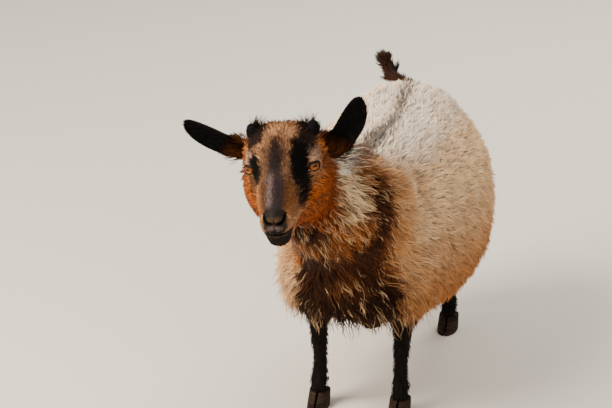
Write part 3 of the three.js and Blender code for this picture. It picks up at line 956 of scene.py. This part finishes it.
def grow(name, roots, style, rings, seed):
    """One piece of coat: tufts on these roots. A style has, for each tuft, its lie, length, width, height of
    its tip over the skin, wave and wavelength, stray (how far its clump turns aside) and gather (how far
    the tips of a clump draw together), in millimetres. It also has the spread of the clumps, and pale, which
    is how readily a clump has pale tips: at -9, none has."""
    random = np.random.default_rng(seed)
    place, normal = roots["place"], roots["normal"]
    count = len(place)
    leader = leaders_of(place, style["spread"] * MM, random)
    of_clump = random.normal(0, 1, (4, count))[:, leader]
    of_tuft = random.normal(0, 1, (4, count))
    lie = unit(style["lie"] - normal * np.sum(style["lie"] * normal, 1)[:, None])
    aside = np.cross(lie, normal)
    twist = of_clump[0] * style["stray"] + of_tuft[0] * (0.08 + 0.25 * style["stray"])
    lie = unit(lie * np.cos(twist)[:, None] + aside * np.sin(twist)[:, None])
    aside = np.cross(lie, normal)
    length = style["length"] * np.clip(1 + 0.14 * of_clump[1] + 0.12 * of_tuft[1], 0.5, 1.5) * MM
    height = np.minimum(style["height"] * np.clip(1 + 0.22 * of_clump[2] + 0.22 * of_tuft[2], 0.2, 1.6) * MM,
                        length * 0.8)
    wave = style["wave"] * MM
    phase = random.uniform(0, 2 * math.pi, count)[leader] + 0.5 * of_tuft[3]
    turns = length / (style["wavelength"] * MM) * 2 * math.pi
    steps = np.linspace(0, 1, rings + 1)
    reach = np.sqrt(np.maximum(length**2 - height**2, 0))
    tips = place + lie * reach[:, None] + normal * height[:, None]
    drawn = (tips[leader] - tips) * style["gather"][:, None]
    drawn *= np.minimum(1, 0.6 * length / np.maximum(np.linalg.norm(drawn, axis=1), 1e-9))[:, None]
    line = []
    for s in steps:
        swing = wave * (np.sin(phase + turns * s) - np.sin(phase)) * min(1, 2 * s)
        rise = height * math.sin(s * math.pi / 2) + wave * 0.5 * np.cos(phase + turns * s) * s
        rise -= TUFT_ROOT * MM * (1 - s) ** 4
        line.append(place + lie * (reach * s)[:, None] + normal * rise[:, None] + aside * swing[:, None]
                    + drawn * s**1.4)
    line = np.stack(line, 1)
    way = unit(np.gradient(line, axis=1))
    across = unit(np.cross(way, np.broadcast_to(normal[:, None], way.shape)))
    over = np.cross(across, way)
    profile = np.interp(steps, [0, 0.3, 0.6, 0.85, 1], [0.75, 1, 0.85, 0.5, 0])
    half = (style["width"] * MM / 2)[:, None, None] * profile[None, :, None]
    places, normals, shares = [], [], []
    for k in range(rings):
        places += [line[:, k] - across[:, k] * half[:, k], line[:, k] + across[:, k] * half[:, k]]
        places += [line[:, k] + over[:, k] * half[:, k] * 0.8]
        normals += [over[:, k] - across[:, k], over[:, k] + across[:, k], over[:, k]]
        shares += [steps[k]] * 3
    places, normals = np.stack([*places, line[:, -1]], 1), np.stack([*normals, over[:, -1]], 1)
    normals = unit(unit(normals) * 0.55 + normal[:, None] * 0.6)
    shares = np.array([*shares, 1.0])
    root, tip = tuft_colours(
        place + lie * (0.7 * reach)[:, None], normal, roots["ear"], style["pale"], of_clump, of_tuft
    )
    share = ease(0.3, 0.95, shares)[None, :, None]
    colours = root[:, None] * (1 - share) + tip[:, None] * share
    # tufts painted darker towards their roots: painted shade deep in the coat
    colours = colours * (ROOT_SHADE + (1 - ROOT_SHADE) * ease(0, 0.5, shares))[None, :, None]
    lock = rows([0, 1, 0.5] * rings + [0.5], shares)
    maps = roots["map"][:, None] + (lock - 0.5) * BAKE_PATCH
    own = random.uniform(0, 50, (count, 3))
    return tuft_mesh(name, places, normals, rings, colours, maps, np.tile(lock, (count, 1, 1)), own)


TUFT_ROOT = 1.5  # how deep a tuft's root is sunk, in millimetres
# the darker root is painted shade deep in the coat
ROOT_SHADE = 0.62  # how light a tuft is at its root, against its tip


def tuft_colours(places, normals, ear, pale, of_clump, of_tuft):
    """The colours of tufts at root and tip: feathered markings, streaks, and pale tips on the ruff."""
    head = face_share(places)
    blur = mix(3.5, 1.6, head) * MM
    colour = markings(places + of_tuft[:3].T * blur, normals, ear)
    p, q = on_body(places), on_head(places)
    haired = head * ease(-108, -90, q[:, 1])
    fleck = of_tuft[3] + 0.4 * of_clump[0]
    colour = mix(colour, np.minimum(colour, STREAK), 0.7 * haired * ease(0.0, 0.9, fleck))
    colour = mix(colour, colour * 1.45, haired * ease(-0.5, -1.4, fleck))
    mottle = 0.09 * ripple(p, 34, 21) + 0.06 * ripple(p, 15, 22)
    uneven = 0.10 + 0.22 * ease(-10, 20, ruff_edge(p)) * (1 - head)
    value = np.clip(1 + uneven * of_clump[3] + 0.10 * of_tuft[2] + mottle * (1 - head), 0.45, 1.6)
    colour = colour * value[:, None]
    warm = 0.04 * of_clump[2] + 0.03 * of_tuft[1]
    colour = colour * (1 + warm[:, None] * np.array([1, 0, -1.2]))
    rare = 0.9 * ease(330, 290, p[:, 2]) + 1.2 * band_share(p)  # fewer of them on the chest and the band
    rare += 1.5 * stripe_share(p)
    rare += 0.9 * ease(95, 70, np.linalg.norm(q - [0, 15, -15], axis=1))  # and beside the head
    pale = (1 - head) * ease(0.2, 0.8, of_clump[3] + 0.35 * of_tuft[0] - rare + pale)
    return colour, mix(colour * 1.05, LOCK_TIP * np.clip(value[:, None], 0.8, 1.2), 0.85 * pale)


# ---------------------------------------------------------------- the lie of the coat


def blend(lie, target, share):
    """The lie turned towards a target where share is near 1."""
    return mix(unit(lie), unit(np.broadcast_to(np.array(target, float), lie.shape)), share)


def lie_on_body(p):
    """Which way the hair runs on the trunk, neck, legs and tail."""
    x, y, z = p.T
    aside = np.clip((x - neck_middle(p)) / 45, -1, 1)
    down = ease(405, 250, z)
    lie = rows(0.1 * aside, 1 - 0.35 * down, -0.1 - 0.75 * down)
    lie = blend(lie, [0, 0.35, -1], ease(415, 470, y))
    neck = ease(-25, 25, ruff_edge(p))
    lie = blend(lie, rows(0.55 * aside, 0.75, -0.75 * np.abs(aside)), neck)
    lie = blend(lie, rows(0.75 * aside, 0.05, -1), neck * ease(385, 330, z))
    return blend(lie, [0, 0.12, -1], ease(235, 190, z))


def lie_on_tail(p):
    """Along the tail to its tip."""
    line = np.array(TAIL_LINE, float)
    _, share = distance_to_line(p, line)
    at = np.minimum((share * (len(line) - 1)).astype(int), len(line) - 2)
    return unit(line[at + 1] - line[at])


def lie_on_head(q):
    """Back from the nose, upright on the forehead, aside on the muzzle and down on the cheeks."""
    x, y, z = q.T
    side = np.clip(x / 12, -1, 1)
    fan = np.clip((x + 4) / 40, -1, 1) * ease(-60, -20, y)
    lie = rows(0.15 * side + 0.6 * fan, 1, 0.1)
    poll = ease(26, 44, y) * ease(20, 36, z)
    lie = blend(lie, rows(0.3 * side, 0.2, 1), poll)
    muzzle = ease(-45, -62, y) * ease(6, 14, np.abs(x))
    lie = blend(lie, rows(0.8 * side, 0.6, -0.2), 0.8 * muzzle)
    cheek = ease(28, 42, np.abs(x)) * ease(0, -14, z)
    lie = blend(lie, rows(0.3 * side, 0.75, -0.7), cheek)
    return blend(lie, [0, 0.55, -1], ease(-34, -52, z))


def lie_on_ears(q):
    """Along each ear to its tip."""
    left, right = (unit(np.array(EAR_LINES[s][1]) - np.array(EAR_LINES[s][0])) for s in (1, -1))
    return np.where(q[:, :1] > 0, left, right)


# ---------------------------------------------------------------- pieces of the coat


def regions(hide):
    """Which part of the goat each face of the skin belongs to."""
    p = on_body(hide.middles)
    _, y, z = p.T
    ear = hide.middle_ear > 0.5
    head = (face_share(hide.middles) > 0.5) & ~ear
    tail = (distance_to_line(p, TAIL_LINE)[0] < 24) & (z > 366) & (y > 440)
    leg = (z < 205) & ~head
    ruff = (ruff_edge(p) > -12) & ~leg & ~head & ~ear
    trunk = ~(ear | head | tail | leg | ruff)
    return {"ear": ear, "head": head, "tail": tail, "leg": leg, "ruff": ruff, "trunk": trunk}


def tuft_style(roots, lie, spread, pale=-9, **numbers):
    """A style as grow takes it, with a number or an array for each of the rest."""
    each = {name: np.broadcast_to(number, len(roots["place"])) for name, number in numbers.items()}
    return {"lie": lie, "spread": spread, "pale": pale, **each}


def trunk_style(roots):
    """Dense soft wool that lies along the body."""
    p = on_body(roots["place"])
    top = ease(385, 415, p[:, 2])
    return tuft_style(
        roots, lie_on_body(p), 6, length=23 - 3 * top, width=1.7, height=10.5 + 1.5 * top,
        wave=1.8 - 0.8 * top, wavelength=20, stray=0.32, gather=0.35,
    )


def beside_head(roots):
    """1 near the head, falling to 0 away from it."""
    return ease(105, 75, np.linalg.norm(on_head(roots["place"]) - [0, 15, -15], axis=1))


def ruff_style(roots):
    """Dense longer hair on the neck and chest, shorter beside the head."""
    p = on_body(roots["place"])
    low, near = ease(360, 300, p[:, 2]), beside_head(roots)
    return tuft_style(
        roots, lie_on_body(p), 5, pale=-0.2, length=25 + 12 * low - 8 * near, width=1.5 + 0.2 * low,
        height=12 - 4 * near, wave=1.2 + 0.5 * low, wavelength=24, stray=0.25, gather=0.4,
    )


def lock_style(roots):
    """Long waving locks with pale tips, over the rest of the ruff."""
    p = on_body(roots["place"])
    low, near = ease(360, 300, p[:, 2]), beside_head(roots)
    return tuft_style(
        roots, lie_on_body(p), 9, pale=0.6, length=38 + 16 * low - 16 * near, width=1.15,
        height=16 - 6 * near, wave=1.5 + 0.7 * low, wavelength=27, stray=0.3,
        gather=0.7 + 0.15 * ease(300, 250, p[:, 2]),
    )


def leg_style(roots):
    """Short close hair, longer at the top."""
    p = on_body(roots["place"])
    high = ease(120, 200, p[:, 2])
    return tuft_style(
        roots, lie_on_body(p), 5, length=9 + 12 * high, width=1.5 + 0.6 * high, height=2.2 + 5 * high,
        wave=0.2 + 0.6 * high, wavelength=20, stray=0.1, gather=0.35,
    )


def tail_style(roots):
    """A brush of longer hair, shorter at its tip."""
    p = on_body(roots["place"])
    far = ease(0.5, 0.9, distance_to_line(p, TAIL_LINE)[1])
    return tuft_style(
        roots, lie_on_tail(p), 6, length=26 - 9 * far, width=2.1, height=13 - 6 * far, wave=0.6,
        wavelength=22, stray=0.15, gather=0.2,
    )


def head_style(roots):
    """Short hair, shortest on the nose and lids, fuller on the cheeks and the poll."""
    q = on_head(roots["place"])
    _, y, z = q.T
    cheek = ease(-70, -25, y) * ease(-2, -22, z)
    poll = ease(12, 44, y) * ease(0, 20, z)
    back = ease(-60, -8, y)
    corner = spot(mirrored(q), [40, 42, 44], [17, 18, 20])
    fringe = ease(14, 34, y) * ease(26, 8, z) * ease(-30, -12, z)  # round the ears' roots
    fringe = np.maximum(fringe, 1.6 * spot(mirrored(q), [52, 38, 26], [14, 18, 20]))
    forelock = spot(q, [6, 40, 58], [9, 12, 14])
    short = np.minimum(1 - 0.55 * ease(24, 15, from_eyes(q)), 1 - 0.3 * ease(-95, -108, y))
    return tuft_style(
        roots, lie_on_head(q) @ HEAD_TURN.T, 3.5,
        length=(4.6 + 3.6 * back + 4.5 * cheek + 5 * poll + 24 * corner + 8 * fringe + 9 * forelock) * short,
        width=0.85 + 0.3 * back + 0.4 * cheek,
        height=(0.9 + 0.9 * back + 2.0 * cheek + 4 * poll + 22 * corner + 5 * fringe + 9 * forelock) * short,
        wave=0.08 + 0.25 * cheek, wavelength=14, stray=0.1 + 0.12 * poll, gather=0.25 + 0.2 * cheek,
    )


def ear_style(roots):
    """Very short hair, with a fringe at the root."""
    q = on_head(roots["place"])
    root = ease(0.45, 0.1, along_ears(q))
    return tuft_style(
        roots, lie_on_ears(q) @ HEAD_TURN.T, 4, length=3.6 + 17 * root, width=0.9 + 0.2 * root,
        height=0.6 + 10 * root, wave=0.15, wavelength=14, stray=0.15, gather=0.3,
    )


RIDGE, LOIN = -4, 300  # where the coat of the trunk is divided, across and back
ROOTS_SEED, TUFTS_SEED = 100, 200  # for the first piece, and one more for each after it


def quarter(leg):
    """Tells which places are in one quarter of the trunk, over one of the legs."""
    end, side = leg.split("_")
    return lambda p: ((p[:, 0] > RIDGE) == (side == "left")) & ((p[:, 1] < LOIN) == (end == "fore"))


# Piece, region, its part of it, how many tufts, style, rings and slot.
COAT = [(f"coat_{leg}", "trunk", quarter(leg), 16000, trunk_style, 2, "coat") for leg in LEGS]
COAT += [
    ("ruff_upper", "ruff", lambda p: p[:, 2] > 350, 4700, ruff_style, 4, "coat"),
    ("ruff_middle", "ruff", lambda p: (p[:, 2] <= 350) & (p[:, 2] > 280), 4700, ruff_style, 4, "coat"),
    ("ruff_lower", "ruff", lambda p: p[:, 2] <= 280, 4700, ruff_style, 4, "coat"),
    ("ruff_locks", "ruff", None, 3600, lock_style, 5, "coat"),
    ("coat_legs", "leg", None, 12000, leg_style, 2, "short_hair"),
    ("coat_tail", "tail", None, 3600, tail_style, 3, "coat"),
    ("coat_head", "head", None, 19500, head_style, 2, "short_hair"),
    ("coat_ears", "ear", None, 6500, ear_style, 2, "short_hair"),
]


def grow_coat(skin, looks):
    """All pieces of the coat, each on its own part of the skin."""
    hide = Hide(skin)
    inside = regions(hide)
    p = on_body(hide.middles)
    for number, (name, region, part, count, style, rings, slot) in enumerate(COAT):
        chosen = inside[region] & (part(p) if part else True)
        weight = chosen * np.clip(1 - 1.3 * hide.middle_bare, 0, 1)
        roots = hide.roots(count, weight, np.random.default_rng(ROOTS_SEED + number))
        piece = grow(name, roots, style(roots), rings, TUFTS_SEED + number)
        piece.data.materials.append(looks[slot])
        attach(piece, "root")


# ---------------------------------------------------------------- eyes, horns and hooves

IRIS, PUPIL = 7.6, (4.6, 1.6)  # the iris's radius, and the slit's half width and height


def eye_material():
    """A goat's eye: an amber iris with fine rays, a level slit and a dark rim, under a wet cornea."""
    material, tree, shader = new_material("wet_eye")
    gaze = attribute(tree, "Gaze", "Vector")
    flat = vectors(tree, "MULTIPLY", gaze, (1, 1, 0)).outputs[0]
    far = vectors(tree, "LENGTH", flat).outputs["Value"]
    rays = noise(tree, vectors(tree, "NORMALIZE", flat).outputs[0], 9.0, 3.0)
    height = add_node(tree, "SeparateXYZ", {0: gaze}).outputs["Y"]
    shaded = ranged(tree, height, -1.5, 4.0, 0.0, 0.8)  # by the upper lid
    colour = ramped(tree, rays, (0.3, 0.7), ("5e2404", "b4640f"))
    colour = mixed(tree, shaded, colour, (*shade("3c1202"), 1))
    rim = ranged(tree, far, IRIS - 1.0, IRIS + 0.3, 0.0, 0.9)
    colour = mixed(tree, rim, colour, (*shade("140b08"), 1))
    beyond = ranged(tree, far, IRIS + 0.5, IRIS + 2.5, 0.0, 1.0)
    colour = mixed(tree, beyond, colour, (*shade("2a1812"), 1))
    slit = vectors(tree, "MULTIPLY", flat, (1 / PUPIL[0], 1 / PUPIL[1], 0)).outputs[0]
    hole = ranged(tree, vectors(tree, "LENGTH", slit).outputs["Value"], 0.9, 1.15, 1.0, 0.0)
    colour = mixed(tree, hole, colour, (0.002, 0.002, 0.003, 1))
    feed(shader, {
        "Base Color": colour, "Roughness": 0.3, "Specular IOR Level": 0.0, "Coat Weight": 0.4,
        "Coat Roughness": 0.05,
    })
    return material


def make_eye(side_name, material):
    """An eyeball with its cornea."""
    node = f"eye_{side_name}"
    side = SIDES[side_name]
    bpy.ops.mesh.primitive_uv_sphere_add(segments=64, ring_count=40, radius=1, location=(0, 0, 0))
    eye = bpy.context.view_layer.objects.active
    eye.name = eye.data.name = f"eyeball_{side_name}"
    ahead, inner, up = eye_axes(side)
    local = places_of(eye.data)
    swell = 1 + 0.055 * ease(0.72, 0.9, local[:, 2])
    gaze = local * (EYE_RADIUS * swell)[:, None]
    set_places(eye.data, from_head(gaze @ np.array([inner, up, ahead]) + EYE * [side, 1, 1]))
    set_attribute(eye.data, "Gaze", gaze)
    finish_piece(eye, material, "eye", node)


def finish_piece(piece, material, slot, *nodes):
    """Outward faces, a smooth surface, a material, a body and the solids that the piece stands for."""
    on_all_of(piece, bpy.ops.mesh.normals_make_consistent, inside=False)
    piece.data.polygons.foreach_set("use_smooth", np.ones(len(piece.data.polygons), bool))
    piece.data.materials.clear()
    piece.data.materials.append(material)
    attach(piece, "root")
    if nodes:
        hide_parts(*nodes)


def keratin(name, dark, pale, rings):
    """Horn or hoof: fine lines along it, rings across it and a worn dull shine."""
    material, tree, shader = new_material(name)
    place = add_node(tree, "TexCoord").outputs["Object"]
    lines = noise(tree, vectors(tree, "MULTIPLY", place, (900, 900, 60)).outputs[0], 1.0, 3.0)
    bands = noise(tree, vectors(tree, "MULTIPLY", place, (20, 20, rings)).outputs[0], 1.0, 2.0)
    both = add_node(tree, "Mix", {0: 0.5, 2: lines, 3: bands}).outputs[0]
    feed(shader, {
        "Base Color": ramped(tree, both, (0.36, 0.66), (dark, pale)),
        "Normal": bump(tree, both, 0.6, 0.0006),
        "Roughness": ranged(tree, lines, 0.0, 1.0, 0.6, 0.8), "Specular IOR Level": 0.06,
    })
    return material


HORN_ROOT, HORN_RADIUS, HORN_HEIGHT = (37, 45, 24), 11, 30  # the left bud's, in the head's frame
HORN_SPLAY, HORN_LEAN = 14, 14  # degrees outwards and forwards
HORN_STEPS = 24  # of its mesh, along it


def make_horn(side_name, material):
    """A horn bud: a rounded cone with growth rings, rooted in the skin."""
    side = SIDES[side_name]
    bpy.ops.mesh.primitive_cone_add(vertices=28, radius1=1, radius2=0.12, depth=1, location=(0, 0, 0.5))
    horn = bpy.context.view_layer.objects.active
    horn.name = horn.data.name = f"horn_bud_{side_name}"
    bpy.ops.object.transform_apply(location=True)
    for level in range(1, HORN_STEPS):
        on_all_of(horn, bpy.ops.mesh.bisect, plane_co=(0, 0, level / HORN_STEPS), plane_no=(0, 0, 1))
    local = places_of(horn.data)
    height = local[:, 2]
    grown = 1.25 * (1 - np.clip(height, 0, 1) ** 3) ** 0.5 / np.maximum(1 - 0.88 * height, 0.1)
    rings = 1 + 0.025 * np.sin(height * 44)
    local[:, :2] *= (grown * rings)[:, None] * 0.8
    local[:, 1] += 0.25 * height**2
    splay = turn("y", side * HORN_SPLAY) @ turn("x", HORN_LEAN)
    sized = local * [HORN_RADIUS, HORN_RADIUS, HORN_HEIGHT]
    set_places(horn.data, from_head(sized @ splay.T + np.array(HORN_ROOT) * [side, 1, 1]))
    finish_piece(horn, material, "horn", f"horn_{side_name}")


HOOF_VOXEL = 0.0014
HOOF_RING, HOOF_GROOVE = 3.6, 0.35  # how far apart the growth rings are and how deep, in millimetres


def make_hoof(leg, claw, material):
    """One claw or dewclaw: the solid with softened edges and faint growth rings."""
    hoof = copy_of(f"{leg}_{claw}", f"{leg}_{claw}_horn")
    hoof.data.remesh_voxel_size = HOOF_VOXEL
    only(hoof)
    bpy.ops.object.voxel_remesh()
    places = relaxed(hoof.data, 4, 0.5)
    set_places(hoof.data, places)
    height = places[:, 2] / MM
    depth = HOOF_GROOVE * np.sin(height * 2 * math.pi / HOOF_RING) * ease(3, 7, height)
    set_places(hoof.data, places + normals_of(hoof.data) * (depth * MM)[:, None])
    finish_piece(hoof, material, "hoof", f"{leg}_{claw}")


# ---------------------------------------------------------------- the floor, the light and the camera

CAMERA_TURN, CAMERA_TILT, CAMERA_FAR, LENS = 14.5, 20, 3.38, 132.35  # degrees, metres, millimetres
AIM = (0, 0.2, 0.3)  # from the body's origin
AIM_ASIDE, AIM_UP = 0.116, 0.011  # which places the goat right of the middle of the frame


def aimed(obj, place, target):
    """Puts a lamp or camera at a place, looking at a target."""
    obj.location = place
    obj.rotation_euler = (Vector(target) - Vector(place)).to_track_quat("-Z", "Y").to_euler()
    bpy.context.scene.collection.objects.link(obj)


def add_camera():
    """The camera, in front of the goat, above its back and a little to its left."""
    a, e = math.radians(CAMERA_TURN), math.radians(CAMERA_TILT)
    ahead = Vector((-math.sin(a) * math.cos(e), math.cos(a) * math.cos(e), -math.sin(e)))
    aside = Vector((math.cos(a), math.sin(a), 0))
    target = Vector(BODY_ORIGIN) + Vector(AIM) - aside * AIM_ASIDE - aside.cross(ahead) * AIM_UP
    data = bpy.data.cameras.new("camera")
    data.lens, data.clip_end = LENS, 50
    camera = bpy.data.objects.new("camera", data)
    aimed(camera, target - ahead * CAMERA_FAR, target)
    bpy.context.scene.camera = camera


LAMPS = [  # name, place, size, watts, colour
    ("sun_window", (-1.7, -1.6, 2.4), 1.6, 192, (1.0, 0.90, 0.77)),
    ("fill", (2.2, -1.8, 1.0), 2.0, 26, (1.0, 0.95, 0.9)),
    ("back_light", (0.6, 2.4, 2.0), 1.5, 50, (1.0, 0.93, 0.84)),
]


def add_stage():
    """A plain pale floor, soft lamps and a pale room."""
    bpy.ops.mesh.primitive_plane_add(size=80, location=(0, 0, 0))
    floor = bpy.context.view_layer.objects.active
    floor.name = "floor"
    material, _, shader = new_material("pale_floor")
    feed(shader, {"Base Color": (0.78, 0.74, 0.67, 1), "Roughness": 0.9})
    floor.data.materials.append(material)
    for name, place, size, watts, colour in LAMPS:
        data = bpy.data.lights.new(name, "AREA")
        data.size, data.energy, data.color = size, watts, colour
        aimed(bpy.data.objects.new(name, data), place, (0, 0, 0.3))
    world = bpy.data.worlds.new("room")
    world.use_nodes = True
    feed(world.node_tree.nodes["Background"], {"Color": (0.86, 0.82, 0.76, 1), "Strength": 0.75})
    bpy.context.scene.world = world


# ---------------------------------------------------------------- putting the goat together


def dress_skin(body):
    """The skin's map, markings, bareness and material."""
    on_all_of(body, bpy.ops.uv.smart_project, angle_limit=math.radians(66), island_margin=0.002)
    mesh = body.data
    mesh.uv_layers[0].name = "OFBake"
    mesh.polygons.foreach_set("use_smooth", np.ones(len(mesh.polygons), bool))
    places, normals = places_of(mesh), normals_of(mesh)
    q = on_head(places)
    rim = rim_of_lids(q)
    colour = mix(markings(places, normals, numbers_of(mesh, "Ear")), LIP * 0.8, rim)
    # the skin is painted darker than its coat: painted shade in the gaps between the tufts
    set_colours(mesh, "Marking", colour * 0.8)
    set_attribute(mesh, "Bare", np.maximum(bare_skin(q), rim))
    mesh.materials.clear()
    mesh.materials.append(skin_material())


def bare_skin(q):
    """1 on the hairless leather of the nose and the lips' edges."""
    x, y, z = q.T
    nose = ease(-106, -112, y) * ease(18, 15, np.abs(x)) * ease(-28, -25, z)
    nose = nose * ease(-2, -7, z)
    line = ease(2.2, 1.0, np.abs(z - lip_height(q))) * ease(-84, -90, y)
    return np.maximum(nose, line)


body = skin_shape()
fold_head(body)
dress_skin(body)
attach(body, "root")
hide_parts(*FLESH, *EARS)
LOOKS = {"coat": coat_material("wool", 0.75, 0.1), "short_hair": coat_material("short_hair", 0.55, 0.0)}
grow_coat(body, LOOKS)

eye_look = eye_material()
horn_look = keratin("horn_keratin", "040305", "100d0e", 500)
hoof_look = keratin("hoof_keratin", "0f0b09", "3d2f25", 420)
for side_name in SIDES:
    make_eye(side_name, eye_look)
    make_horn(side_name, horn_look)
for leg in LEGS:
    for claw in ("hoof_inner", "hoof_outer", "dewclaw_inner", "dewclaw_outer"):
        make_hoof(leg, claw, hoof_look)

add_stage()
add_camera()
